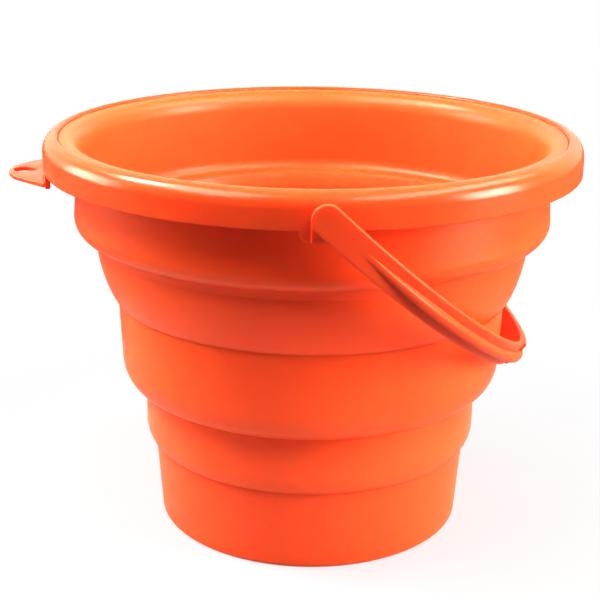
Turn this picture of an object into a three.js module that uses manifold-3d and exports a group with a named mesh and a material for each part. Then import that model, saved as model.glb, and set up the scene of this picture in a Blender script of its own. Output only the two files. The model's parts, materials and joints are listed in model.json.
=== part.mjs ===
// A folding sand bucket: a hard rim ring with two pivot lugs and a hanging tab, a soft wall in four
// stepped bands that fold into each other, a hard base cup, and a bail handle that swings on the rim.
//
// Frame: millimetres, +Z up. The origin is the centre of the base's flat underside. The handle's two
// pivots lie on a line along Y, the handle hangs on the +X side, and the hanging tab points along -X.
import * as THREE from 'three';
import { mergeVertices } from 'three/addons/utils/BufferGeometryUtils.js';
import Module from 'manifold-3d';

const wasm = await Module();
wasm.setup();

// ---- Driving dimensions ----------------------------------------------------------------------

const GAP = 0.3; // clearance between pieces that touch or run on each other
const SEGMENTS = 48; // facets round every turned piece, so that neighbours' facets line up
const HOLE_SEGMENTS = 24; // facets round a pin and its hole
const JOIN = 1; // how deep two solids run into each other where they are made one

// Base cup.
const BASE_TOP_RADIUS = 97.8;
const BASE_HEIGHT = 50; // floor to the lip of band d
const BASE_TAPER = 3.7; // how much narrower the cup is at its foot
const BASE_WALL = 2.4;
const BASE_FLOOR = 3;
const BASE_EDGE = 2.5; // rounding where the wall meets the underside
const BASE_CORNER = 4; // rounding inside, between the floor and the wall

// Soft wall, from the bottom up. Each band is a short tube that turns in at its foot to a lip, and
// the band below stands up through that lip. step is how far the foot turns in, and spread how much
// wider the band is at its top than above its foot. A fullness of 2 makes the foot a true ellipse.
const WALL = 2; // thickness of the soft wall
const BANDS = [
  { name: 'wall_band_d', height: 37.5, step: 4.9, spread: 0, shoulder: 10.6, fullness: 1.66 },
  { name: 'wall_band_c', height: 55.2, step: 13.7, spread: 1.7, shoulder: 19.2, fullness: 2.19 },
  { name: 'wall_band_b', height: 41.7, step: 11.7, spread: 2.9, shoulder: 35.3, fullness: 1.43 },
  { name: 'wall_band_a', height: 44.6, step: 9.3, spread: -2.7, shoulder: 10.4, fullness: 2.2 },
];

// Mouth: the soft wall flares out to a flat lip that lies on the rim ring's ledge.
const FLARE_RISE = 12.6; // height of the flare, up to the top of the lip
const FLARE_REACH = 5.7; // top band to the lip's inner edge
const FLARE_LAG = 1; // how much higher the flare starts inside than outside
const LIP_WIDTH = 4.2;
const LIP_THICKNESS = 2.2;

// Rim ring, a channel that opens downwards: an outer skirt, a rounded top and an inner leg.
const RIM_WIDTH = 9.3; // seam to the outside of the skirt
const RIM_CREST = 1.6; // how far the crest stands above the soft lip
const SKIRT_HEIGHT = 19.7; // crest to the skirt's lower edge
const SKIRT_WALL = 2.8;
const SHOULDER_HEIGHT = 9;
const CREST_WIDTH = 1.3; // flat part of the crest beside the seam
const LEG_WALL = 2.2;
const LEG_HEIGHT = 23;
const WEB_THICKNESS = 2.8;

// Pivot lugs: the skirt drops to a wide plate on each side, and a boss on it carries the pivot.
const LUG_WIDTH = 27;
const LUG_DROP = 5.2; // below the skirt's lower edge
const LUG_CORNER = 3;
const BOSS_RADIUS = 8;
const BOSS_REACH = 3.2; // how far the boss stands out from the skirt
const BOSS_SAG = 2; // how far the middle of its round top lies below the pivot
const BOSS_PLAY = 1.2; // boss to strap, so that the bent strap turns past the boss's foot
const PIVOT_DROP = 12.3; // crest to the pivot's centre

// Hanging tab: a flat plate with a rounded nose and a pear-shaped hole.
const TAB_REACH = 21.5; // nose of the tab beyond the skirt
const TAB_NOSE_RADIUS = 30;
const TAB_ROOT_WIDTH = 82;
const TAB_SIDE_DEG = 45; // how far the straight sides lean to the bucket's wall
const TAB_THICKNESS = 2.4;
const TAB_HOLE_INSET = 8.5; // nose of the tab to the centre of the hole's wide end
const TAB_HOLE_RADIUS = 6;
const TAB_HOLE_NECK_RADIUS = 2.6;
const TAB_HOLE_LENGTH = 5.5; // wide end's centre to narrow end's centre

// Handle: a flat strap bent to a bow, with a raised ridge outside and a thicker grip.
const HANDLE_REACH = 13.6; // outside of the bow, level, beyond the skirt
const HANDLE_LEAN_GAP = 1; // bow to the wall that it leans on
const HANDLE_FULLNESS = 1.9; // 2 is a true ellipse, less is more pointed
const STRAP_WIDTH = 16.4;
const STRAP_THICKNESS = 3.8;
const STRAP_CORNER = 1.2;
const RIDGE_WIDTH = 6;
const RIDGE_HEIGHT = 4.6;
const RIDGE_CORNER = 2;
const RIDGE_END = 0.13; // share of the bow's length left without a ridge at each end
const GRIP_PAD = 1.5; // how much thicker the strap is at the grip
const GRIP_CORNER = 1;
const GRIP_END = 0.4; // share of the bow's length from each pivot to the grip
const PIN_RADIUS = 4;
const PIN_HEAD_RADIUS = 5;
const PIN_HEAD_THICKNESS = 1.6;
const HANG_STEP_DEG = 0.1; // how finely the hang angle is found
const HANG_POINTS = 60; // points along the bow that are tried against the wall

const SOFT_ORANGE = { color: 0xf4511c, roughness: 0.55, metalness: 0 };
const HARD_ORANGE = { color: 0xfa5a18, roughness: 0.25, metalness: 0 };

// ---- Levels that follow from the dimensions ----------------------------------------------------

let level = BASE_HEIGHT;
let innerTop = BASE_TOP_RADIUS;
for (const band of BANDS) {
  band.bottom = level;
  band.lipRadius = innerTop + GAP;
  band.waistRadius = band.lipRadius + band.step;
  band.topRadius = band.waistRadius + band.spread;
  level += band.height;
  innerTop = band.topRadius;
}
// A band stands up through the lip above it and ends flush with the inside of that lip.
BANDS.slice(0, -1).forEach((band) => {
  band.top = band.bottom + band.height + WALL;
});
const mouthBand = BANDS[BANDS.length - 1];
mouthBand.top = mouthBand.bottom + mouthBand.height;

const baseFootRadius = BASE_TOP_RADIUS - BASE_TAPER;
const lipTop = mouthBand.top + FLARE_RISE;
const lipInnerRadius = mouthBand.topRadius + FLARE_REACH;
const lipOuterRadius = lipInnerRadius + LIP_WIDTH;
const seamRadius = lipOuterRadius + GAP;
const rimRadius = seamRadius + RIM_WIDTH;
const rimTop = lipTop + RIM_CREST;
const skirtBottom = rimTop - SKIRT_HEIGHT;
const skirtInnerRadius = rimRadius - SKIRT_WALL;
const lugBottom = skirtBottom - LUG_DROP;
const pivotHeight = rimTop - PIVOT_DROP;
const bossFace = rimRadius + BOSS_REACH;
const tabTop = lugBottom;

// ---- Helpers -----------------------------------------------------------------------------------

// Points of a quarter of a superellipse round centre, from its side (reachR, 0) to its end (0, reachZ).
function quarter(centre, reachR, reachZ, fullness, steps) {
  return Array.from({ length: steps + 1 }, (_, i) => {
    const angle = (Math.PI / 2) * (i / steps);
    const across = i === steps ? 0 : Math.cos(angle) ** (2 / fullness);
    const along = Math.sin(angle) ** (2 / fullness);
    return new THREE.Vector2(centre[0] + reachR * across, centre[1] + reachZ * along);
  });
}

// A piece turned about Z. Its outline runs anticlockwise in (radius, height).
function turned(outline, closed = true) {
  const points = closed ? [...outline, outline[0].clone()] : outline;
  const geometry = new THREE.LatheGeometry(points, SEGMENTS);
  return geometry.rotateX(Math.PI / 2);
}

// The closed solid of a geometry, with its doubled corners merged and its empty triangles left out.
function solid(geometry) {
  const bare = geometry.clone();
  bare.deleteAttribute('normal');
  bare.deleteAttribute('uv');
  const merged = mergeVertices(bare);
  const kept = [];
  const index = merged.index.array;
  for (let i = 0; i < index.length; i += 3) {
    const [a, b, c] = index.subarray(i, i + 3);
    if (a !== b && b !== c && c !== a) kept.push(a, b, c);
  }
  return new wasm.Manifold(new wasm.Mesh({
    numProp: 3,
    vertProperties: new Float32Array(merged.attributes.position.array),
    triVerts: new Uint32Array(kept),
  }));
}

function geometryOf(manifold) {
  const mesh = manifold.getMesh();
  const geometry = new THREE.BufferGeometry();
  geometry.setAttribute('position', new THREE.BufferAttribute(mesh.vertProperties, mesh.numProp));
  geometry.setIndex(new THREE.BufferAttribute(mesh.triVerts, 1));
  geometry.computeVertexNormals();
  return geometry;
}

function named(name, geometry, look) {
  const mesh = new THREE.Mesh(geometry, new THREE.MeshStandardMaterial(look));
  mesh.name = name;
  return mesh;
}

// A cylinder along Y, between two distances out from the axis on one side (+1 or -1) of the bucket.
function crossPin(radius, from, to, side, height) {
  const pin = new THREE.CylinderGeometry(radius, radius, to - from, HOLE_SEGMENTS);
  return pin.translate(0, (side * (from + to)) / 2, height);
}

// ---- Soft wall ---------------------------------------------------------------------------------

function shoulderOutside({ bottom, waistRadius, shoulder, lipRadius, fullness }) {
  const centre = [lipRadius, bottom + shoulder];
  return quarter(centre, waistRadius - lipRadius, -shoulder, fullness, 6).reverse();
}

function shoulderInside({ bottom, waistRadius, shoulder, lipRadius, fullness }) {
  const centre = [lipRadius, bottom + shoulder];
  const rise = WALL - shoulder;
  return quarter(centre, waistRadius - WALL - lipRadius, rise, fullness, 5);
}

function wallBand(band) {
  const outline = [
    ...shoulderOutside(band),
    new THREE.Vector2(band.topRadius, band.top),
    new THREE.Vector2(band.topRadius - WALL, band.top),
    ...shoulderInside(band),
  ];
  return named(band.name, turned(outline), SOFT_ORANGE);
}

// The top band's tube flares out to the flat lip.
function mouthWall(band) {
  const inner = band.topRadius - WALL;
  const legClear = lipInnerRadius - GAP;
  const under = lipTop - LIP_THICKNESS;
  const outsideFlare = quarter([legClear, band.top], band.topRadius - legClear, under - band.top, 2, 4);
  const insideStart = band.top + FLARE_LAG;
  const insideFlare = quarter(
    [lipInnerRadius, insideStart], inner - lipInnerRadius, lipTop - insideStart, 2, 5,
  ).reverse();
  const outline = [
    ...shoulderOutside(band),
    ...outsideFlare,
    new THREE.Vector2(lipOuterRadius, under),
    new THREE.Vector2(lipOuterRadius, lipTop),
    ...insideFlare,
    ...shoulderInside(band),
  ];
  return named(band.name, turned(outline), SOFT_ORANGE);
}

// ---- Base cup ----------------------------------------------------------------------------------

function baseCup() {
  const top = BASE_HEIGHT + WALL;
  const footEdge = quarter([baseFootRadius - BASE_EDGE, BASE_EDGE], BASE_EDGE, -BASE_EDGE, 2, 3);
  const innerFoot = baseFootRadius - BASE_WALL;
  const corner = quarter(
    [innerFoot - BASE_CORNER, BASE_FLOOR + BASE_CORNER], BASE_CORNER, -BASE_CORNER, 2, 3,
  );
  const outline = [
    new THREE.Vector2(0, 0),
    ...footEdge.reverse(),
    new THREE.Vector2(BASE_TOP_RADIUS, top),
    new THREE.Vector2(BASE_TOP_RADIUS - BASE_WALL, top),
    ...corner,
    new THREE.Vector2(0, BASE_FLOOR),
  ];
  return named('base_cup', turned(outline, false), HARD_ORANGE);
}

// ---- Rim ring ----------------------------------------------------------------------------------

// A plate with rounded lower corners that faces along Y, standing from low to high.
function lugPlate(width, low, high, corner, depth) {
  const half = width / 2;
  const shape = new THREE.Shape();
  shape.moveTo(-half, high);
  shape.lineTo(-half, low + corner);
  shape.absarc(-half + corner, low + corner, corner, Math.PI, 1.5 * Math.PI);
  shape.absarc(half - corner, low + corner, corner, 1.5 * Math.PI, 2 * Math.PI);
  shape.lineTo(half, high);
  shape.closePath();
  const plate = new THREE.ExtrudeGeometry(shape, { depth, bevelEnabled: false, curveSegments: 4 });
  return plate.rotateX(Math.PI / 2).translate(0, depth / 2, 0);
}

// A boss round the pivot, with a round top and straight sides down to the lug's lower edge.
function pivotBoss(side) {
  const shape = new THREE.Shape();
  shape.moveTo(-BOSS_RADIUS, lugBottom);
  shape.lineTo(BOSS_RADIUS, lugBottom);
  shape.absarc(0, pivotHeight - BOSS_SAG, BOSS_RADIUS, 0, Math.PI);
  shape.closePath();
  const start = skirtInnerRadius + JOIN;
  const depth = bossFace - start;
  const boss = new THREE.ExtrudeGeometry(shape, { depth, bevelEnabled: false, curveSegments: 12 });
  return boss.rotateX(Math.PI / 2).translate(0, side > 0 ? bossFace : -start, 0);
}

function rimRing() {
  const ledge = lipTop - LIP_THICKNESS - GAP;
  const crestRadius = seamRadius + CREST_WIDTH;
  const legOuter = lipInnerRadius + LEG_WALL;
  const shoulder = quarter(
    [crestRadius, rimTop - SHOULDER_HEIGHT], rimRadius - crestRadius, SHOULDER_HEIGHT, 2, 6,
  );
  const channel = turned([
    new THREE.Vector2(skirtInnerRadius, skirtBottom),
    new THREE.Vector2(rimRadius, skirtBottom),
    ...shoulder,
    new THREE.Vector2(seamRadius, rimTop),
    new THREE.Vector2(seamRadius, ledge),
    new THREE.Vector2(lipInnerRadius, ledge),
    new THREE.Vector2(lipInnerRadius, rimTop - LEG_HEIGHT),
    new THREE.Vector2(legOuter, rimTop - LEG_HEIGHT),
    new THREE.Vector2(legOuter, ledge - WEB_THICKNESS),
    new THREE.Vector2(skirtInnerRadius, ledge - WEB_THICKNESS),
  ]);

  // The lugs and the tab's root are pieces of a longer skirt, kept where a plate crosses it.
  const tabRootBottom = tabTop - TAB_THICKNESS;
  const longSkirt = solid(turned([
    new THREE.Vector2(skirtInnerRadius, tabRootBottom),
    new THREE.Vector2(rimRadius, tabRootBottom),
    new THREE.Vector2(rimRadius, skirtBottom + JOIN),
    new THREE.Vector2(skirtInnerRadius, skirtBottom + JOIN),
  ]));
  const high = skirtBottom + 2 * JOIN;
  const across = 2 * (rimRadius + JOIN);
  const lugs = solid(lugPlate(LUG_WIDTH, lugBottom, high, LUG_CORNER, across));
  const tabRoot = solid(new THREE.BoxGeometry(rimRadius, TAB_ROOT_WIDTH, 2 * rimRadius)
    .translate(-rimRadius, 0, high - rimRadius));

  let rim = solid(channel).add(longSkirt.intersect(lugs)).add(longSkirt.intersect(tabRoot));
  for (const side of [-1, 1]) {
    rim = rim.add(solid(pivotBoss(side)));
    const holeStart = skirtInnerRadius - SKIRT_WALL;
    const hole = crossPin(PIN_RADIUS + GAP, holeStart, bossFace + JOIN, side, pivotHeight);
    rim = rim.subtract(solid(hole));
  }
  return named('rim_ring', geometryOf(rim), HARD_ORANGE);
}

// ---- Hanging tab -------------------------------------------------------------------------------

// A pear-shaped hole: two circles joined by their common tangents, the narrow end towards +X.
function pearHole(x, wide, narrow, length) {
  const lean = Math.acos((wide - narrow) / length);
  const hole = new THREE.Path();
  hole.absarc(x, 0, wide, lean, 2 * Math.PI - lean);
  hole.absarc(x + length, 0, narrow, -lean, lean);
  hole.closePath();
  return hole;
}

function hangTab() {
  const nose = -(rimRadius + TAB_REACH);
  const noseCentre = nose + TAB_NOSE_RADIUS;
  const turn = THREE.MathUtils.degToRad(TAB_SIDE_DEG);
  const half = TAB_ROOT_WIDTH / 2;
  const cheek = half - TAB_NOSE_RADIUS * Math.sin(turn); // how far the straight sides widen it
  const rootX = noseCentre - TAB_NOSE_RADIUS * Math.cos(turn) + cheek * Math.tan(turn);
  const shape = new THREE.Shape();
  shape.moveTo(rootX + half, half);
  shape.lineTo(rootX, half);
  shape.absarc(noseCentre, 0, TAB_NOSE_RADIUS, Math.PI - turn, Math.PI + turn);
  shape.lineTo(rootX, -half);
  shape.lineTo(rootX + half, -half);
  shape.closePath();
  shape.holes.push(pearHole(
    nose + TAB_HOLE_INSET, TAB_HOLE_RADIUS, TAB_HOLE_NECK_RADIUS, TAB_HOLE_LENGTH,
  ));
  const plate = new THREE.ExtrudeGeometry(
    shape, { depth: TAB_THICKNESS, bevelEnabled: false, curveSegments: 16 },
  ).translate(0, 0, tabTop - TAB_THICKNESS);
  const cutRadius = rimRadius + GAP;
  const rimSpace = turned([
    new THREE.Vector2(0, tabTop - 2 * TAB_THICKNESS),
    new THREE.Vector2(cutRadius, tabTop - 2 * TAB_THICKNESS),
    new THREE.Vector2(cutRadius, tabTop + TAB_THICKNESS),
    new THREE.Vector2(0, tabTop + TAB_THICKNESS),
  ], false);
  return named('hang_tab', geometryOf(solid(plate).subtract(solid(rimSpace))), HARD_ORANGE);
}

// ---- Handle ------------------------------------------------------------------------------------

const skin = STRAP_THICKNESS / 2;
const bowHalfWidth = bossFace + BOSS_PLAY + skin;
const bowReach = rimRadius + HANDLE_REACH - skin;

// The strap's centre line, level, from the pivot at +Y round the bow to the pivot at -Y. trim is the
// share of the bow left off at each end.
class Bow extends THREE.Curve {
  constructor(halfWidth, reach, trim = 0) {
    super();
    Object.assign(this, { halfWidth, reach, trim });
  }

  getPoint(t, target = new THREE.Vector3()) {
    const angle = Math.PI * (this.trim + (1 - 2 * this.trim) * t);
    const power = 2 / HANDLE_FULLNESS;
    const across = Math.sign(Math.cos(angle)) * Math.abs(Math.cos(angle)) ** power;
    const out = Math.abs(Math.sin(angle)) ** power;
    return target.set(this.reach * out, this.halfWidth * across, 0);
  }
}

// Radius of the soft wall's outside at a height, from the outlines of its bands.
function wallRadius(height) {
  const band = BANDS.find(({ bottom, top }) => height >= bottom && height <= top);
  if (!band) return height < BASE_HEIGHT ? BASE_TOP_RADIUS : rimRadius;
  const drop = Math.max(0, band.bottom + band.shoulder - height) / band.shoulder;
  const turnedIn = band.step * (1 - (1 - drop ** band.fullness) ** (1 / band.fullness));
  const rise = Math.max(0, height - band.bottom - band.shoulder) / (band.height - band.shoulder);
  return band.waistRadius + band.spread * rise - turnedIn;
}

// The steepest angle below level, in radians, at which the bow's inner face still clears the wall.
function hangAngle() {
  const inside = new Bow(bowHalfWidth - skin, bowReach - skin).getPoints(HANG_POINTS);
  const edge = STRAP_WIDTH / 2;
  const clears = (angle) => inside.every((point) => {
    const radius = Math.hypot(point.x * Math.cos(angle) - edge * Math.sin(angle), point.y);
    const height = pivotHeight - point.x * Math.sin(angle) - edge * Math.cos(angle);
    return height > lugBottom || radius > wallRadius(height) + HANDLE_LEAN_GAP;
  });
  const step = THREE.MathUtils.degToRad(HANG_STEP_DEG);
  let angle = 0;
  while (clears(angle + step) && angle < Math.PI / 2) angle += step;
  return angle;
}

// A bar along a bow, of width across and from low to high outwards from the strap's centre line.
function bar(bow, width, low, high, corner, steps) {
  const half = width / 2;
  const shape = new THREE.Shape();
  shape.moveTo(-half + corner, low);
  shape.absarc(half - corner, low + corner, corner, 1.5 * Math.PI, 2 * Math.PI);
  shape.absarc(half - corner, high - corner, corner, 0, Math.PI / 2);
  shape.absarc(-half + corner, high - corner, corner, Math.PI / 2, Math.PI);
  shape.absarc(-half + corner, low + corner, corner, Math.PI, 1.5 * Math.PI);
  return new THREE.ExtrudeGeometry(shape, { steps, extrudePath: bow, curveSegments: 1 });
}

function bailHandle() {
  const bow = (trim) => new Bow(bowHalfWidth, bowReach, trim);
  const strap = bar(bow(0), STRAP_WIDTH, -skin, skin, STRAP_CORNER, 36);
  const ridge = bar(bow(RIDGE_END), RIDGE_WIDTH, 0, skin + RIDGE_HEIGHT, RIDGE_CORNER, 28);
  const grip = bar(bow(GRIP_END), STRAP_WIDTH, 0, skin + GRIP_PAD, GRIP_CORNER, 10);
  let handle = solid(strap).add(solid(ridge)).add(solid(grip));
  for (const side of [-1, 1]) {
    const headOut = skirtInnerRadius - 2 * GAP;
    const headIn = headOut - PIN_HEAD_THICKNESS;
    const end = crossPin(STRAP_WIDTH / 2, bowHalfWidth - skin, bowHalfWidth + skin, side, 0);
    const pin = crossPin(PIN_RADIUS, headIn, bowHalfWidth, side, 0);
    const head = crossPin(PIN_HEAD_RADIUS, headIn, headOut, side, 0);
    handle = handle.add(solid(end)).add(solid(pin)).add(solid(head));
  }
  return named('handle', geometryOf(handle), HARD_ORANGE);
}

// ---- Assembly ----------------------------------------------------------------------------------

const group = new THREE.Group();
group.add(baseCup());
BANDS.slice(0, -1).forEach((band) => group.add(wallBand(band)));
group.add(mouthWall(mouthBand));
group.add(rimRing());
group.add(hangTab());

const handle = bailHandle();
handle.position.z = pivotHeight;
handle.rotation.y = hangAngle();
group.add(handle);

export default group;
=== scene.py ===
import json
import math

import bmesh
import bpy
import numpy as np
from mathutils import Matrix, Vector


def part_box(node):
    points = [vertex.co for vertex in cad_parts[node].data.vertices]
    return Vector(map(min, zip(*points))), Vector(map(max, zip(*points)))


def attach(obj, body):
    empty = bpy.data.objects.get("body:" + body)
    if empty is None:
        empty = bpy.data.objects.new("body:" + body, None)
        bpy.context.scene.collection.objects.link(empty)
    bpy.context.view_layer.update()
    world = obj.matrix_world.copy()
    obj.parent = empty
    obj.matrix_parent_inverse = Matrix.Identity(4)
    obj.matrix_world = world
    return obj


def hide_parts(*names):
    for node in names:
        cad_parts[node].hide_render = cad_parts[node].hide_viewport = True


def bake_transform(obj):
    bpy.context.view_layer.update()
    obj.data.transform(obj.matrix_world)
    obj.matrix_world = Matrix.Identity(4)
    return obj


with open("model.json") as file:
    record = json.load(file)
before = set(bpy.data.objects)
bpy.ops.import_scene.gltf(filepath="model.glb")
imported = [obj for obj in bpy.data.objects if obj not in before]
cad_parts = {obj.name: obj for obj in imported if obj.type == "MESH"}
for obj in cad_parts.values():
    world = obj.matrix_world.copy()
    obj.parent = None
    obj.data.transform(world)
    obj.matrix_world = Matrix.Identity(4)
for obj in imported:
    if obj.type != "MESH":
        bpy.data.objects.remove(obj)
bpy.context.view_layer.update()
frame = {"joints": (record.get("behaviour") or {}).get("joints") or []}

# A folding sand bucket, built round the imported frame. Shapes are worked out in millimetres, with the
# origin at the centre of the base's underside, +Z up, the handle's pivots along Y, the handle hanging
# on the +X side and the hanging tab pointing along -X.
MM = 0.001

# ---- Camera ------------------------------------------------------------------------------------

CAMERA_LENS = 82.2
CAMERA_SENSOR = 36
CAMERA_DISTANCE = 0.8536
CAMERA_PITCH = math.radians(18.28)
CAMERA_ROLL = 0.01037
LOOK_HEIGHT = 0.1352
LOOK_ASIDE = -0.00677  # the view's middle passes this far to the left of the bucket's axis
VIEW_TURN = math.radians(-2.2)  # the bucket stands a little turned to the view

view_frame = Matrix.Rotation(VIEW_TURN, 4, "Z")


def add_camera():
    """A camera that looks down at its pitch at a point on the view's middle line."""
    camera = bpy.data.objects.new("camera", bpy.data.cameras.new("camera"))
    bpy.context.scene.collection.objects.link(camera)
    camera.data.lens = CAMERA_LENS
    camera.data.sensor_width = CAMERA_SENSOR
    camera.data.clip_start, camera.data.clip_end = 0.01, 50
    back = Vector((0, -math.cos(CAMERA_PITCH), math.sin(CAMERA_PITCH))) * CAMERA_DISTANCE
    place = Vector((LOOK_ASIDE, 0, LOOK_HEIGHT)) + back
    aim = Matrix.Rotation(math.pi / 2 - CAMERA_PITCH, 4, "X") @ Matrix.Rotation(CAMERA_ROLL, 4, "Z")
    camera.matrix_world = view_frame @ Matrix.Translation(place) @ aim
    bpy.context.scene.camera = camera


add_camera()
bpy.context.scene.view_settings.view_transform = "Standard"
bpy.context.scene.view_settings.gamma = 0.72

# ---- Materials ---------------------------------------------------------------------------------


class Shade:
    """A socket of a node tree. Sums, differences, products and shares of it add Math nodes."""

    def __init__(self, tree, socket=None):
        self.tree, self.socket = tree, socket

    def node(self, kind, settings=None, sockets=None, output=0):
        """Adds a node with its settings, then the values or links of its sockets."""
        made = self.tree.nodes.new(kind)
        for key, value in (settings or {}).items():
            setattr(made, key, value)
        for key, value in (sockets or {}).items():
            if isinstance(value, Shade):
                self.tree.links.new(value.socket, made.inputs[key])
            else:
                made.inputs[key].default_value = value
        return Shade(self.tree, made.outputs[output] if made.outputs else None)

    def maths(self, operation, *values):
        return self.node("ShaderNodeMath", {"operation": operation}, dict(enumerate(values)))

    def __add__(self, other):
        return self.maths("ADD", self, other)

    def __radd__(self, other):
        return self.maths("ADD", other, self)

    def __sub__(self, other):
        return self.maths("SUBTRACT", self, other)

    def __rsub__(self, other):
        return self.maths("SUBTRACT", other, self)

    def __mul__(self, other):
        return self.maths("MULTIPLY", self, other)

    def __rmul__(self, other):
        return self.maths("MULTIPLY", other, self)

def new_material(name):
    """An empty node material. Returns it and a Shade with no socket, to add its nodes with."""
    material = bpy.data.materials.new(name)
    material.use_nodes = True
    material.node_tree.nodes.clear()
    return material, Shade(material.node_tree)


def noise(start, place, scale, detail=2.0, roughness=0.5):
    """Noise about 0, from about -1 to 1, with scale in bumps per metre."""
    sockets = {"Vector": place, "Scale": scale, "Detail": detail, "Roughness": roughness}
    return (start.node("ShaderNodeTexNoise", None, sockets) - 0.5) * 2


def smooth_share(x, low, high):
    """0 where x is below low, 1 above high, and eased in between."""
    sockets = {0: x, 1: float(low), 2: float(high), 3: 0.0, 4: 1.0}
    return x.node("ShaderNodeMapRange", {"interpolation_type": "SMOOTHSTEP"}, sockets)


# Bumps per metre of each noise.
DRIFT_SCALE, MOTTLE_SCALE, ROUGHNESS_SCALE, WAVE_SCALE = 14.0, 160.0, 46.0, 30.0
DRIFT_SHARE, MOTTLE_SHARE = 0.35, 0.08  # how far each noise moves the colour
FACING_FROM, FACING_FULL = 0.5, 0.9  # cosines between which a face counts as facing the axis and takes the painted inside light


def painted_light_mask(start, place):
    """1 on faces that look straight at the Z axis, 0 on those that look up, down or away: the mask of the
    painted light on the bucket's inside.
    """
    level = start.node("ShaderNodeVectorMath", {"operation": "MULTIPLY"}, {0: place, 1: (-1, -1, 0)})
    inwards = start.node("ShaderNodeVectorMath", {"operation": "NORMALIZE"}, {0: level})
    normal = start.node("ShaderNodeTexCoord", output="Normal")
    dot = start.node(
        "ShaderNodeVectorMath", {"operation": "DOT_PRODUCT"}, {0: inwards, 1: normal}, output="Value",
    )
    return smooth_share(dot, FACING_FROM, FACING_FULL)


def moulded(
    name, deep, bright, roughness, spread, grain, grain_depth, wave_depth, inner=0.0, **constants,
):
    """A moulded finish. Slow noise moves the colour between deep and bright, a second one moves the
    roughness, and a fine grain with faint shallow waves bumps the surface. Faces that look towards
    the Z axis are moved by inner towards the bright colour, and the others as far from it. This is
    painted light: it makes the bucket's inside lighter than the rest of the piece."""
    material, start = new_material(name)
    place = start.node("ShaderNodeTexCoord", output="Object")
    drift = noise(start, place, DRIFT_SCALE, 3.0)
    mottle = noise(start, place, MOTTLE_SCALE)
    share = drift * DRIFT_SHARE + mottle * MOTTLE_SHARE + (0.5 - inner / 2)
    # Painted light: faces that look at the axis, the bucket's inside, are made lighter by inner and the
    # rest darker.
    if inner:
        share = share + inner * painted_light_mask(start, place)
    mix = {"data_type": "RGBA", "clamp_factor": True}
    colour = start.node("ShaderNodeMix", mix, {0: share, 6: (*deep, 1), 7: (*bright, 1)}, output=2)
    rough = roughness + spread * noise(start, place, ROUGHNESS_SCALE, 4.0, 0.6)
    fine = noise(start, place, grain)
    waves = noise(start, place, WAVE_SCALE, 1.0)
    height = fine * grain_depth + waves * wave_depth
    bump = start.node("ShaderNodeBump", None, {"Strength": 1.0, "Distance": 1.0, "Height": height})
    sockets = {"Base Color": colour, "Roughness": rough, "Normal": bump, **constants}
    shader = start.node("ShaderNodeBsdfPrincipled", None, sockets)
    start.node("ShaderNodeOutputMaterial", None, {"Surface": shader})
    return material


# Red light travels on through these plastics and keeps their shaded parts warm.
PLASTIC = {
    "IOR": 1.45, "Specular IOR Level": 0.4, "Subsurface Weight": 0.6,
    "Subsurface Scale": 0.004, "Subsurface Radius": (1.0, 0.08, 0.02),
}
gloss_plastic = moulded(
    "gloss_plastic", (0.84, 0.112, 0.028), (0.89, 0.134, 0.040), roughness=0.24, spread=0.035,
    grain=1400.0, grain_depth=0.000002, wave_depth=0.00002, **PLASTIC,
)
# inner=0.5 paints light on the soft wall's inside, which is made lighter than its outside.
soft_rubber = moulded(
    "soft_rubber", (0.81, 0.132, 0.030), (0.87, 0.194, 0.060), roughness=0.34, spread=0.05,
    grain=2200.0, grain_depth=0.000006, wave_depth=0.00006, inner=0.5, **PLASTIC,
)
handle_plastic = moulded(
    "handle_plastic", (0.76, 0.102, 0.024), (0.82, 0.124, 0.036), roughness=0.42, spread=0.04,
    grain=1600.0, grain_depth=0.000003, wave_depth=0.00002, **PLASTIC,
)
satin_plastic = moulded(
    "satin_plastic", (0.79, 0.118, 0.026), (0.85, 0.138, 0.036), roughness=0.4, spread=0.04,
    grain=1800.0, grain_depth=0.000004, wave_depth=0.00003, **PLASTIC,
)

# ---- Mesh making -------------------------------------------------------------------------------

SMOOTH_BELOW = math.radians(38)  # edges that turn more than this stay sharp
MERGE = 0.002 * MM
ROUND_STEPS = 256  # columns round a turned piece


def grid_faces(rows, columns, wrap_rows, wrap_columns):
    """Corner numbers of the quads of a grid: each joins a point to the next row's and column's."""
    row = np.arange(rows if wrap_rows else rows - 1)[:, None]
    column = np.arange(columns if wrap_columns else columns - 1)[None, :]
    down, right = (row + 1) % rows, (column + 1) % columns
    corners = [row * columns + column, row * columns + right, down * columns + right]
    corners.append(down * columns + column)
    return np.stack(np.broadcast_arrays(*corners), -1).reshape(-1, 4)


def build(name, sheets, material):
    """One mesh object from sheets, each a grid of points in millimetres with its two wraps. Rows or
    columns that shrink to a point or a line are closed by merging, and faces turned outwards."""
    points, faces, start = [], [], 0
    for grid, wrap_rows, wrap_columns in sheets:
        rows, columns = grid.shape[:2]
        points.append(grid.reshape(-1, 3) * MM)
        faces.append(grid_faces(rows, columns, wrap_rows, wrap_columns) + start)
        start += rows * columns
    mesh = bpy.data.meshes.new(name)
    mesh.from_pydata(np.concatenate(points), [], np.concatenate(faces))
    shape = bmesh.new()
    shape.from_mesh(mesh)
    bmesh.ops.remove_doubles(shape, verts=shape.verts, dist=MERGE)
    bmesh.ops.dissolve_degenerate(shape, edges=shape.edges, dist=MERGE / 4)
    bmesh.ops.recalc_face_normals(shape, faces=shape.faces)
    shape.to_mesh(mesh)
    shape.free()
    mesh.shade_smooth()
    mesh.set_sharp_from_angle(angle=SMOOTH_BELOW)
    mesh.materials.append(material)
    made = bpy.data.objects.new(name, mesh)
    bpy.context.scene.collection.objects.link(made)
    return made


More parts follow.
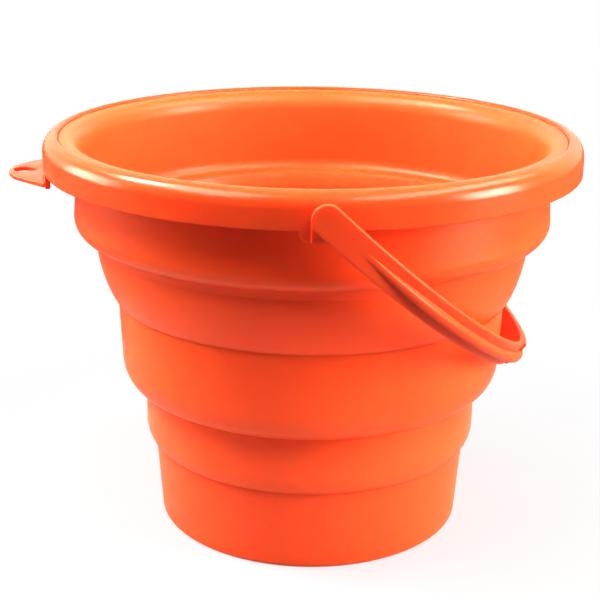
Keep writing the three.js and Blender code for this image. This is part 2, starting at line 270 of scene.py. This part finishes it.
def turned(profile, steps=ROUND_STEPS):
    """A closed (radius, height) outline turned about Z: x = r cos a, y = r sin a."""
    angle = np.linspace(0, 2 * np.pi, steps, endpoint=False)[None, :]
    radius, height = profile[:, :1], profile[:, 1:]
    grid = [radius * np.cos(angle), radius * np.sin(angle), height + 0 * angle]
    return np.stack(grid, -1)


def quarter(centre, reach, fullness, steps):
    """A quarter of a superellipse: centre + (reach_r cos^(2/n) a, reach_z sin^(2/n) a)."""
    angle = np.linspace(0, np.pi / 2, steps)
    across = np.clip(np.cos(angle), 0, 1) ** (2 / fullness)
    along = np.sin(angle) ** (2 / fullness)
    return np.stack([centre[0] + reach[0] * across, centre[1] + reach[1] * along], -1)


def rounded(points, radii, steps=6):
    """A closed outline with its corners rounded: each becomes a parabola that leaves one side and
    meets the next one at the corner's own radius from it. A radius of 0 leaves a point alone."""
    points, radii = np.asarray(points, float), np.asarray(radii, float)[:, None]
    before, after = np.roll(points, 1, 0) - points, np.roll(points, -1, 0) - points
    length_before = np.linalg.norm(before, axis=1, keepdims=True)
    length_after = np.linalg.norm(after, axis=1, keepdims=True)
    first = points + before / length_before * np.minimum(radii, 0.48 * length_before)
    last = points + after / length_after * np.minimum(radii, 0.48 * length_after)
    t = np.linspace(0, 1, steps)[None, :, None]
    bend = first[:, None] * (1 - t) ** 2 + 2 * points[:, None] * t * (1 - t) + last[:, None] * t**2
    path = bend.reshape(-1, 2)
    return path[np.linalg.norm(path - np.roll(path, 1, 0), axis=1) > 1e-4]


def profile(*runs):
    """A closed outline from runs of points. A run given with a radius has every point rounded."""
    points, radii = [], []
    for run in runs:
        run, radius = run if isinstance(run, tuple) else (run, 0)
        run = np.atleast_2d(run)
        points.append(run)
        radii.append(np.full(len(run), float(radius)))
    return rounded(np.concatenate(points), np.concatenate(radii))


def smooth_step(low, high, x):
    """0 below low, 1 above high, and 3t^2 - 2t^3 in between."""
    t = np.clip((x - low) / (high - low), 0, 1)
    return t * t * (3 - 2 * t)


def extent(node):
    """(lowest corner, highest corner) of a CAD node in millimetres."""
    low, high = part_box(node)
    return np.array(low) / MM, np.array(high) / MM


# ---- Soft wall ---------------------------------------------------------------------------------

WALL = 2.0
SEAT = 0.06  # between a band's lip and the band that stands up through it
# Each band's step inwards at its foot, its widening above that, its shoulder's height and fullness.
BAND_SHAPES = {
    "wall_band_d": (4.9, 0.0, 10.6, 1.66),
    "wall_band_c": (13.7, 1.7, 19.2, 2.19),
    "wall_band_b": (11.7, 2.9, 35.3, 1.43),
    "wall_band_a": (9.3, -2.7, 10.4, 2.2),
}
# The body each band stands on at its lip, and the one it moves with above its shoulder.
BAND_BODIES = {
    "wall_band_d": ("band_d", "base"),
    "wall_band_c": ("band_c", "band_d"),
    "wall_band_b": ("band_b", "band_c"),
    "wall_band_a": ("rim", "band_b"),
}
# What each band stands on.
BELOW = {
    "wall_band_d": "base_cup",
    "wall_band_c": "wall_band_d",
    "wall_band_b": "wall_band_c",
    "wall_band_a": "wall_band_b",
}
LIP_EDGE, BAND_EDGE, MOUTH_EDGE = 0.7, 0.5, 0.25  # roundings of a band's foot, its top and the mouth
FLARE_RISE, FLARE_REACH, FLARE_LAG = 12.6, 5.7, 1.0
LIP_WIDTH, LIP_THICKNESS = 4.2, 2.2
GAP = 0.3  # clearance between neighbouring pieces


def top_radius(name):
    """Outer radius at the top of a piece that stands up through a lip."""
    return extent(name)[1][0]


def lip_radius(name):
    """Radius of a band's lip: the top of the piece below, and the frame's gap."""
    return top_radius(BELOW[name]) + GAP


def shoulder(lip, waist, bottom, height, fullness, steps):
    """The turned-in foot of a band, from its lip up to its waist."""
    return quarter((lip, bottom + height), (waist - lip, -height), fullness, steps)[::-1]


def band_profile(name, lip):
    """A band's section: up the outside from the lip, over the top, and down the inside."""
    step, spread, height, fullness = BAND_SHAPES[name]
    low, high = extent(name)
    bottom, top = low[2], high[2]
    waist = lip_radius(name) + step
    outside = shoulder(lip, waist, bottom, height, fullness, 40)
    inside = shoulder(lip, waist - WALL, bottom + WALL, height - WALL, fullness, 36)[::-1]
    if name != "wall_band_a":
        over = np.array([[waist + spread, top], [waist + spread - WALL, top]])
        return profile(
            (outside[:1], LIP_EDGE), outside[1:], (over, BAND_EDGE), inside[:-1], (inside[-1:], LIP_EDGE),
        )
    straight = top - FLARE_RISE
    edge = waist + spread
    lip_inner = edge + FLARE_REACH
    under = top - LIP_THICKNESS
    clear = lip_inner - GAP
    outer_flare = quarter((clear, straight), (edge - clear, under - straight), 2, 14)
    start = straight + FLARE_LAG
    inner_flare = quarter((lip_inner, start), (edge - WALL - lip_inner, top - start), 2, 28)[::-1]
    lip_face = np.array([[lip_inner + LIP_WIDTH, under], [lip_inner + LIP_WIDTH, top]])
    return profile(
        (outside[:1], LIP_EDGE), outside[1:], outer_flare, (lip_face, MOUTH_EDGE),
        inner_flare, inside[:-1], (inside[-1:], LIP_EDGE),
    )


def soft_wall():
    """One continuous turned piece per band, in place of the band's CAD part."""
    for name, (upper, lower) in BAND_BODIES.items():
        outline = band_profile(name, top_radius(BELOW[name]) + SEAT)
        piece = build("soft_" + name, [(turned(outline), True, True)], soft_rubber)
        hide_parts(name)
        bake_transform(piece)


soft_wall()

# ---- Base cup ----------------------------------------------------------------------------------

BASE_WALL, BASE_FLOOR, BASE_TAPER = 2.4, 3.0, 3.7
FOOT_EDGE, FOOT_WIDTH, FOOT_RECESS, FOOT_SLOPE = 2.5, 9.0, 1.2, 1.2
BASE_CORNER, BASE_LIP_EDGE, BASE_SOFTENING = 4.0, 0.8, 0.4
# Radius and height of the underside's points inside the foot ring: a flat centre and a shallow rib.
UNDERSIDE = [
    [0, 0.5], [11, 0.5], [12, FOOT_RECESS], [44, FOOT_RECESS], [45, 0.6], [47, 0.6], [48, FOOT_RECESS],
]
# Radius and height above the floor of its points, from the raised ring in to the centre.
FLOOR_RING = [[62, 0], [61.2, 0.7], [58.8, 0.7], [58, 0], [10, 0], [9, -0.5], [0, -0.5]]


def base_cup():
    """The cup turned in one piece: a foot ring, a recessed underside with a flat centre and a shallow
    rib, a tapering wall, and a floor with a raised ring inside."""
    high = extent("base_cup")[1]
    top, top_outer = high[2], high[0]
    foot = top_outer - BASE_TAPER
    edge = quarter((foot - FOOT_EDGE, FOOT_EDGE), (FOOT_EDGE, -FOOT_EDGE), 2, 10)[::-1]
    inner = foot - BASE_WALL
    reach = (BASE_CORNER, -BASE_CORNER)
    corner = quarter((inner - BASE_CORNER, BASE_FLOOR + BASE_CORNER), reach, 2, 10)
    ring = foot - FOOT_WIDTH
    under = np.array(UNDERSIDE + [[ring - FOOT_SLOPE, FOOT_RECESS], [ring, 0.0]])
    floor = np.array(FLOOR_RING) + [0, BASE_FLOOR]
    outline = profile(
        under[:1], (under[1:], BASE_SOFTENING), edge,
        ([[top_outer, top], [top_outer - BASE_WALL, top]], BASE_LIP_EDGE), corner,
        (floor[:-1], BASE_SOFTENING), floor[-1:],
    )
    piece = build("moulded_base", [(turned(outline), False, True)], satin_plastic)
    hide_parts("base_cup")
    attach(piece, "base")


base_cup()

# ---- Rim ring ----------------------------------------------------------------------------------

RIM_WIDTH, RIM_CREST, SKIRT_HEIGHT, SKIRT_WALL = 9.3, 1.6, 19.7, 2.8
SHOULDER_HEIGHT, CREST_WIDTH, CREST_ROUND = 9.0, 1.3, 1.5
LEG_WALL, LEG_HEIGHT, WEB = 2.2, 23.0, 2.8
LUG_WIDTH, LUG_DROP, LUG_CORNER = 27.0, 5.2, 3.0
TAB_ROOT = 82.0  # width of the tab's root, where the skirt's edge drops to the tab's underside
SKIRT_EDGE, LEG_EDGE = 0.7, 0.5
SKIRT_FOOT = 1.5  # height of the skirt's lowest stretch, which a drop makes longer
CREST_FULLNESS = 1.4
LUG_COLUMNS = [-0.05, 0, 0.04, 0.15, 0.35, 0.7, 1.2, 2.0, LUG_CORNER]  # insets from a lug's side

rim_low, rim_high = extent("rim_ring")
rim_top = rim_high[2]
rim_radius = rim_high[0]
seam_radius = rim_radius - RIM_WIDTH
skirt_bottom = rim_top - SKIRT_HEIGHT
skirt_inner = rim_radius - SKIRT_WALL
pivot_height = next(j for j in frame["joints"] if j["name"] == "handle_swing")["pos_m"][2] / MM


def lug_drop(across):
    """How far a lug hangs below the skirt at a distance across it, with rounded lower corners."""
    inside = np.clip(LUG_WIDTH / 2 - np.abs(across), 0, LUG_CORNER)
    corner = LUG_CORNER - np.sqrt(LUG_CORNER**2 - (LUG_CORNER - inside) ** 2)
    return np.where(np.abs(across) <= LUG_WIDTH / 2, LUG_DROP - corner, 0)


def rim_angles():
    """Columns round the rim: evenly spaced, and close together where the lugs and the tab start."""
    even = np.linspace(-np.pi, np.pi, 360, endpoint=False)
    lug_side = np.arcsin((LUG_WIDTH / 2 - np.array(LUG_COLUMNS)) / rim_radius)
    lugs = np.concatenate([s * np.pi / 2 + t * lug_side for s in (-1, 1) for t in (-1, 1)])
    tab_side = np.arcsin((TAB_ROOT / 2 - np.array(LUG_COLUMNS[:2])) / rim_radius)
    tab = np.concatenate([np.pi - tab_side, tab_side - np.pi])
    return np.unique(np.concatenate([even, lugs, tab]))


def rim_ring():
    """The channel's section carried round Z. Where a lug or the tab's root is, the skirt's lower edge
    drops: height = section height - drop(angle) for the section's lower edge points."""
    ledge = rim_top - RIM_CREST - LIP_THICKNESS - GAP
    crest = seam_radius + CREST_WIDTH
    lip_inner = seam_radius - GAP - LIP_WIDTH
    leg = lip_inner + LEG_WALL
    over = quarter((crest, rim_top - SHOULDER_HEIGHT), (rim_radius - crest, SHOULDER_HEIGHT), 2, 26)
    fall = (-CREST_WIDTH, CREST_ROUND)
    inner_crest = quarter((crest, rim_top - CREST_ROUND), fall, CREST_FULLNESS, 9)[::-1][1:]
    foot = rim_top - LEG_HEIGHT
    outline = profile(
        ([[skirt_inner, skirt_bottom], [rim_radius, skirt_bottom]], SKIRT_EDGE),
        [[rim_radius, skirt_bottom + SKIRT_FOOT]], over, inner_crest,
        [[seam_radius, ledge], [lip_inner, ledge]],
        ([[lip_inner, foot], [leg, foot]], LEG_EDGE),
        [[leg, ledge - WEB]], [[skirt_inner, ledge - WEB]], [[skirt_inner, skirt_bottom + SKIRT_FOOT]],
    )
    angle = rim_angles()[None, :]
    radius, height = outline[:, :1], outline[:, 1:]
    lug = lug_drop(rim_radius * np.cos(angle))
    root_drop = skirt_bottom - extent("hang_tab")[0][2]
    at_tab = (np.cos(angle) < 0) & (np.abs(rim_radius * np.sin(angle)) <= TAB_ROOT / 2)
    drop = np.maximum(lug, np.where(at_tab, root_drop, 0))
    low_edge = (height < skirt_bottom + SKIRT_FOOT - 0.1) & (radius > skirt_inner - 0.1)
    grid = np.stack([
        radius * np.cos(angle), radius * np.sin(angle), height - np.where(low_edge, drop, 0),
    ], -1)
    piece = build("rim_moulding", [(grid, True, True)], gloss_plastic)
    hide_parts("rim_ring")
    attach(piece, "rim")


rim_ring()

BOSS_RADIUS, PIN_RADIUS, PIN_PLAY = 8.0, 4.0, 0.3
BOSS_EDGE, BOSS_SAG, BOSS_REACH = 0.8, 2.0, 3.2
BORE_EDGE = 0.4
BOSS_COLUMNS = 120
boss_face = rim_radius + BOSS_REACH


def boss_outline():
    """Angles about the pivot and the boss's reach at each. The top is an arc about a point that lies
    BOSS_SAG below the pivot, the sides are upright, and the foot is level with the lug's."""
    below = pivot_height - (skirt_bottom - LUG_DROP)
    corners = [np.arctan2(-below, BOSS_RADIUS), np.arctan2(-BOSS_SAG, BOSS_RADIUS)]
    corners = [turn % (2 * np.pi) for corner in corners for turn in (corner, np.pi - corner)]
    even = np.linspace(0, 2 * np.pi, BOSS_COLUMNS, endpoint=False)
    angle = np.unique(np.concatenate([even, corners]))
    up, aside = np.sin(angle), np.maximum(np.abs(np.cos(angle)), 1e-6)
    top = np.sqrt(BOSS_RADIUS**2 - (BOSS_SAG * aside) ** 2) - BOSS_SAG * up
    down = np.minimum(BOSS_RADIUS / aside, below / np.maximum(-up, 1e-6))
    return angle, np.where(up * BOSS_RADIUS > -BOSS_SAG * aside, top, down)


def pivot_boss(name, side):
    """A boss bored for the pin. Rows carry it from the bore out over the face and the rounded edge,
    and back to the skirt."""
    angle, outline = boss_outline()
    bore, start = PIN_RADIUS + PIN_PLAY, skirt_inner + 1
    turn = np.linspace(0, np.pi / 2, 6)[:, None]
    edge = outline - BOSS_EDGE * (1 - np.sin(turn))
    bored = np.array([[bore], [bore], [bore + BORE_EDGE]]) + 0 * angle
    reach = np.concatenate([bored, edge, outline[None, :]])
    rounding = boss_face - BOSS_EDGE * (1 - np.cos(turn[:, 0]))
    out = np.concatenate([[start, boss_face - BORE_EDGE, boss_face], rounding, [start]])[:, None]
    grid = np.stack([
        reach * np.cos(angle), side * (out + 0 * reach), pivot_height + reach * np.sin(angle),
    ], -1)
    piece = build(name, [(grid, True, True)], gloss_plastic)
    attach(piece, "rim")


pivot_boss("pivot_boss_front", -1)
pivot_boss("pivot_boss_back", 1)

# ---- Hanging tab -------------------------------------------------------------------------------

TAB_NOSE_RADIUS, TAB_SIDE = 30.0, math.radians(45)
HOLE_INSET, HOLE_RADIUS, HOLE_NECK, HOLE_LENGTH = 8.5, 6.0, 2.6, 5.5
HOLE_MIDDLE = 2.0  # from the wide end's centre to the point that the tab's rows spread from
TAB_EDGE, TAB_SEAT, TAB_STEPS = 0.6, 0.05, 240


def even_path(points, steps):
    """A closed path sampled at even distances along its length."""
    loop = np.concatenate([points, points[:1]])
    run = np.concatenate([[0], np.cumsum(np.linalg.norm(np.diff(loop, axis=0), axis=1))])
    at = np.linspace(0, run[-1], steps, endpoint=False)
    return np.stack([np.interp(at, run, loop[:, i]) for i in (0, 1)], -1)


def arc(centre, radius, start, end, steps):
    """Points of a circle's arc from one angle to another."""
    angle = np.linspace(start, end, steps)
    return np.stack([centre[0] + radius * np.cos(angle), centre[1] + radius * np.sin(angle)], -1)


def reach_about(middle, points, wanted):
    """Distance of a closed outline from a point inside it, at the wanted angles."""
    path = even_path(points, TAB_STEPS * 4)
    angle = np.arctan2(path[:, 1] - middle[1], path[:, 0] - middle[0])
    distance = np.linalg.norm(path - middle, axis=1)
    order = np.argsort(angle)
    return np.interp(wanted, angle[order], distance[order], period=2 * np.pi)


def tab_plate(nose):
    """The plate's outline: a round nose, and straight sides down to a root that follows the skirt. A
    side x = start_x + (y - start_y) meets the root's circle x^2 + y^2 = seat^2 at root_y."""
    centre = nose + TAB_NOSE_RADIUS
    seat = rim_radius + TAB_SEAT
    start_x = centre - TAB_NOSE_RADIUS * math.cos(TAB_SIDE)
    start_y = TAB_NOSE_RADIUS * math.sin(TAB_SIDE)
    offset = start_x - start_y
    root_y = (-offset - math.sqrt(2 * seat**2 - offset**2)) / 2
    half_turn = math.asin(root_y / seat)
    return np.concatenate([
        arc((centre, 0), TAB_NOSE_RADIUS, math.pi - TAB_SIDE, math.pi + TAB_SIDE, 60),
        arc((0, 0), seat, math.pi + half_turn, math.pi - half_turn, 60),
    ])


def tab_hole(hole_x):
    """The hole's pear-shaped outline: an arc of the wide end, and one of the narrow end."""
    pinch = math.acos((HOLE_RADIUS - HOLE_NECK) / HOLE_LENGTH)
    return np.concatenate([
        arc((hole_x, 0), HOLE_RADIUS, pinch, 2 * math.pi - pinch, 60),
        arc((hole_x + HOLE_LENGTH, 0), HOLE_NECK, -pinch, pinch, 30),
    ])


def hang_tab():
    """The flat pierced plate. Rows go round its section: out over the top's rounded edge, down and in
    under it, and up through the hole. Columns are even angles about a point in the hole."""
    low, high = extent("hang_tab")
    nose, bottom, top = low[0], low[2], high[2]
    hole_x = nose + HOLE_INSET
    middle = np.array([hole_x + HOLE_MIDDLE, 0])
    angle = np.linspace(-np.pi, np.pi, TAB_STEPS, endpoint=False)
    outer = reach_about(middle, tab_plate(nose), angle)
    inner = reach_about(middle, tab_hole(hole_x), angle)
    turn = np.linspace(0, np.pi / 2, 5)[:, None]
    inset = TAB_EDGE * (1 - np.sin(turn))
    rise = TAB_EDGE * (1 - np.cos(turn))
    reach = np.concatenate([outer - inset, (outer - inset)[::-1], inner + inset, (inner + inset)[::-1]])
    height = np.concatenate([top - rise, (bottom + rise)[::-1], bottom + rise, (top - rise)[::-1]])
    grid = np.stack([
        middle[0] + reach * np.cos(angle), middle[1] + reach * np.sin(angle), height + 0 * reach,
    ], -1)
    piece = build("hanging_tab", [(grid, True, True)], gloss_plastic)
    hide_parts("hang_tab")
    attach(piece, "rim")


hang_tab()

# ---- Handle ------------------------------------------------------------------------------------

HANG = math.radians(43.2)
HANDLE_REACH, HANDLE_FULLNESS = 13.6, 1.9
BOSS_PLAY = 1.2
STRAP_WIDTH, STRAP_THICKNESS, STRAP_EDGE = 16.4, 3.8, 1.2
RIDGE_WIDTH, RIDGE_HEIGHT, RIDGE_FULLNESS = 6.4, 4.6, 2.4
RIDGE_START, RIDGE_GROWN = 0.045, 0.16  # shares of the bow's length between which the ridge grows
RIDGE_NARROW = 0.45  # width of the ridge where it starts, as a share of its full width
GRIP_START, GRIP_RISE, GRIP_STEP = 0.4, 1.5, 0.0006
EDGE_COLUMNS = [0, 0.004, 0.016, 0.036, 0.064, 0.1, 0.146]  # insets from the strap's edge, as shares
PIN_HEAD_RADIUS, PIN_HEAD_THICKNESS, PIN_HEAD_EDGE = 5.0, 1.6, (1.1, 0.7)
BOW_POINTS, BOW_LOOK = 6001, 0.6  # points of the bow, and how far each way its course is read

skin = STRAP_THICKNESS / 2
bow_half = boss_face + BOSS_PLAY + skin
bow_reach = rim_radius + HANDLE_REACH - skin


def bow_line(shares):
    """Place and outward normal on the bow at shares of its length, and straight on past its ends,
    and the bow's length. The bow is x = reach sin^(2/n) a, y = half cos^(2/n) a, for a from 0 to pi."""
    angle = np.linspace(0, np.pi, BOW_POINTS)
    power = 2 / HANDLE_FULLNESS
    x = bow_reach * np.abs(np.sin(angle)) ** power
    y = bow_half * np.sign(np.cos(angle)) * np.abs(np.cos(angle)) ** power
    run = np.concatenate([[0], np.cumsum(np.hypot(np.diff(x), np.diff(y)))])
    along = np.clip(shares, 0, 1) * run[-1]
    past = (np.minimum(shares, 0) - np.maximum(shares - 1, 0)) * run[-1]
    place = np.stack([np.interp(along, run, x) + past, np.interp(along, run, y)], -1)
    ahead, behind = np.clip(along + BOW_LOOK, 0, run[-1]), np.clip(along - BOW_LOOK, 0, run[-1])
    course = np.stack([
        np.interp(ahead, run, x) - np.interp(behind, run, x),
        np.interp(ahead, run, y) - np.interp(behind, run, y),
    ], -1)
    course[shares <= 0] = (1, 0)
    course[shares >= 1] = (-1, 0)
    course /= np.linalg.norm(course, axis=1, keepdims=True)
    normal = np.stack([-course[:, 1], course[:, 0]], -1)
    outward = np.where(np.sum(normal * place, 1, keepdims=True) < 0, -normal, normal)
    return place, outward, run[-1]


def hung(points):
    """Level points of the handle, turned down about the pivots to where it hangs."""
    x, y, z = points[..., 0], points[..., 1], points[..., 2]
    turned_x = x * math.cos(HANG) + z * math.sin(HANG)
    turned_z = z * math.cos(HANG) - x * math.sin(HANG) + pivot_height
    return np.stack([turned_x, y, turned_z], -1)


def strap():
    """The strap's section carried along the bow. Across the strap, the skin's height falls away in a
    quarter circle at the edges, a half-round ridge grows out of it, and the grip stands proud."""
    _, _, length = bow_line(np.array([0.0]))
    cap = np.linspace(0, np.pi / 2, 14)[:-1]
    past = -STRAP_WIDTH / 2 * np.cos(cap) / length
    steps = np.array([-GRIP_STEP, 0, GRIP_STEP * 0.4, GRIP_STEP]) + GRIP_START
    shares = np.unique(np.concatenate([
        past, np.linspace(0, 0.5, 150), steps, RIDGE_START + np.linspace(0, 0.02, 8),
    ]))
    shares = np.concatenate([shares, 1 - shares[:-1][::-1]])
    place, outward, _ = bow_line(shares)
    beyond = (np.minimum(shares, 0) - np.maximum(shares - 1, 0)) * length
    from_end = np.minimum(shares, 1 - shares)[:, None]
    near = 1 - np.array(EDGE_COLUMNS)
    middle = np.linspace(0.8, -0.8, 49)
    across = np.concatenate([near, middle, -near[::-1]])[None, :]
    width = np.sqrt(np.maximum((STRAP_WIDTH / 2) ** 2 - beyond**2, 0))[:, None]
    side = across * width
    rim = STRAP_WIDTH / 2 - np.hypot(side, beyond[:, None])
    fall = np.clip(STRAP_EDGE - rim, 0, STRAP_EDGE)
    edge = skin - STRAP_EDGE + np.sqrt(STRAP_EDGE**2 - fall**2)
    grown = smooth_step(RIDGE_START, RIDGE_GROWN, from_end) ** 0.8
    half_ridge = RIDGE_WIDTH / 2 * (RIDGE_NARROW + (1 - RIDGE_NARROW) * grown)
    bulge = np.clip(1 - np.abs(side / half_ridge) ** RIDGE_FULLNESS, 0, 1) ** (1 / RIDGE_FULLNESS)
    ridge = RIDGE_HEIGHT * grown * bulge
    pad = GRIP_RISE * np.clip((from_end - GRIP_START) / GRIP_STEP, 0, 1)
    top = edge + np.maximum(ridge, pad)
    height = np.concatenate([top, -edge[:, ::-1]], 1)
    both = np.concatenate([side, side[:, ::-1]], 1)
    grid = np.stack([
        place[:, :1] + outward[:, :1] * height, place[:, 1:] + outward[:, 1:] * height, both,
    ], -1)
    return hung(grid)


def pin(side):
    """A pin turned about the pivots' line: a shaft from the strap through the boss, and its head."""
    head_out = skirt_inner - 2 * GAP
    head_in = head_out - PIN_HEAD_THICKNESS
    edge_in, edge_up = PIN_HEAD_EDGE
    outline = np.array([
        [0, bow_half], [PIN_RADIUS, bow_half], [PIN_RADIUS, head_out], [PIN_HEAD_RADIUS, head_out],
        [PIN_HEAD_RADIUS, head_in + edge_up], [PIN_HEAD_RADIUS - edge_in, head_in], [0, head_in],
    ])
    angle = np.linspace(0, 2 * np.pi, 48, endpoint=False)[None, :]
    radius, out = outline[:, :1], outline[:, 1:]
    return hung(np.stack([radius * np.cos(angle), side * out + 0 * angle, radius * np.sin(angle)], -1))


def handle():
    """The bail handle in one piece: the strap and its two pins."""
    sheets = [(strap(), False, True), (pin(-1), False, True), (pin(1), False, True)]
    piece = build("bail_handle", sheets, handle_plastic)
    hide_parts("handle")
    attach(piece, "bail")


handle()

# ---- Light and floor ---------------------------------------------------------------------------

FLOOR_ROWS, FLOOR_COLUMNS = [4.0, 1.6, 0.4, 0.0], 96  # radii in metres
FLOOR_NEAR, FLOOR_FAR = (0.42, 0.42, 0.42, 1), (0.12, 0.12, 0.12, 1)
FLOOR_WHITE = 0.7  # how much of the floor beside the bucket is plain white to the camera


def backdrop():
    """A plain pale floor: a flat disc, each row a radius. The camera sees it nearly white, and sees
    through it from below."""
    angle = np.linspace(0, 2 * np.pi, FLOOR_COLUMNS, endpoint=False)[None, :]
    radius = np.array(FLOOR_ROWS)[:, None]
    grid = np.stack([radius * np.cos(angle), radius * np.sin(angle), 0 * radius * angle], -1)
    material, start = new_material("pale_floor")
    place = start.node("ShaderNodeTexCoord", output="Object")
    away = start.node("ShaderNodeVectorMath", {"operation": "LENGTH"}, {0: place}, output="Value")
    shares = {0: smooth_share(away, 0.2, 0.45), 6: FLOOR_NEAR, 7: FLOOR_FAR}
    colour = start.node("ShaderNodeMix", {"data_type": "RGBA"}, shares, output=2)
    matt = start.node("ShaderNodeBsdfPrincipled", None, {"Base Color": colour, "Roughness": 0.8})
    white = start.node("ShaderNodeEmission", None, {"Color": (1, 1, 1, 1), "Strength": 1.0})
    seen = start.node("ShaderNodeLightPath", output="Is Camera Ray")
    plain = seen * (smooth_share(away, 0.1, 0.35) * (1 - FLOOR_WHITE) + FLOOR_WHITE)
    shown = start.node("ShaderNodeMixShader", None, {0: plain, 1: matt, 2: white})
    under = start.node("ShaderNodeNewGeometry", output="Backfacing")
    clear = start.node("ShaderNodeBsdfTransparent")
    shader = start.node("ShaderNodeMixShader", None, {0: under, 1: shown, 2: clear})
    start.node("ShaderNodeOutputMaterial", None, {"Surface": shader})
    mesh = bpy.data.meshes.new("floor")
    faces = grid_faces(len(FLOOR_ROWS), FLOOR_COLUMNS, False, True)
    mesh.from_pydata(grid.reshape(-1, 3), [], faces)
    mesh.materials.append(material)
    floor = bpy.data.objects.new("floor", mesh)
    bpy.context.scene.collection.objects.link(floor)


def softbox(name, azimuth, elevation, distance, width, height, power):
    """An area light that looks at the bucket's middle. Azimuth 0 is over the camera, 90 to its right."""
    lamp = bpy.data.lights.new(name, "AREA")
    lamp.shape, lamp.size, lamp.size_y, lamp.energy = "RECTANGLE", width, height, power
    box = bpy.data.objects.new(name, lamp)
    bpy.context.scene.collection.objects.link(box)
    turn, rise = math.radians(azimuth), math.radians(elevation)
    away = Vector((math.sin(turn) * math.cos(rise), -math.cos(turn) * math.cos(rise), math.sin(rise)))
    box.location = Vector((0, 0, 0.13)) + away * distance
    box.rotation_mode = "QUATERNION"
    box.rotation_quaternion = away.to_track_quat("Z", "Y")


SKY_FRONT, SKY_BACK, SKY_TOP = 0.06, 1.3, 0.42


def surround():
    """A white surround. As light it is bright overhead and behind the bucket and dim in front."""
    world = bpy.data.worlds.new("studio")
    world.use_nodes = True
    world.node_tree.nodes.clear()
    start = Shade(world.node_tree)
    way = start.node("ShaderNodeTexCoord", output="Generated")
    back = start.node("ShaderNodeSeparateXYZ", None, {0: way}, output="Y")
    up = start.node("ShaderNodeSeparateXYZ", None, {0: way}, output="Z")
    light = SKY_FRONT + (SKY_BACK - SKY_FRONT) * smooth_share(back, 0.1, 0.8)
    light = light + SKY_TOP * smooth_share(up, 0.72, 0.92)
    seen = start.node("ShaderNodeLightPath", output="Is Camera Ray")
    strength = light * (1 - seen) + seen
    sky = start.node("ShaderNodeBackground", None, {"Color": (1, 1, 1, 1), "Strength": strength})
    start.node("ShaderNodeOutputWorld", None, {"Surface": sky})
    bpy.context.scene.world = world


# Each soft box's azimuth, elevation, distance, width, height and power.
SOFT_BOXES = {
    "left_top": (-66, 54, 1.0, 0.8, 0.45, 13),
    "right_top": (66, 54, 1.0, 1.3, 0.32, 13),
    "left_glint": (-98, 50, 1.1, 0.28, 0.2, 8),
    "left_side": (-100, 14, 1.2, 0.6, 0.5, 12),
    "right_side": (70, 14, 1.2, 0.5, 0.6, 22.5),
}


def studio():
    """The surround and its soft boxes."""
    surround()
    for name, setting in SOFT_BOXES.items():
        softbox(name, *setting)


backdrop()
studio()
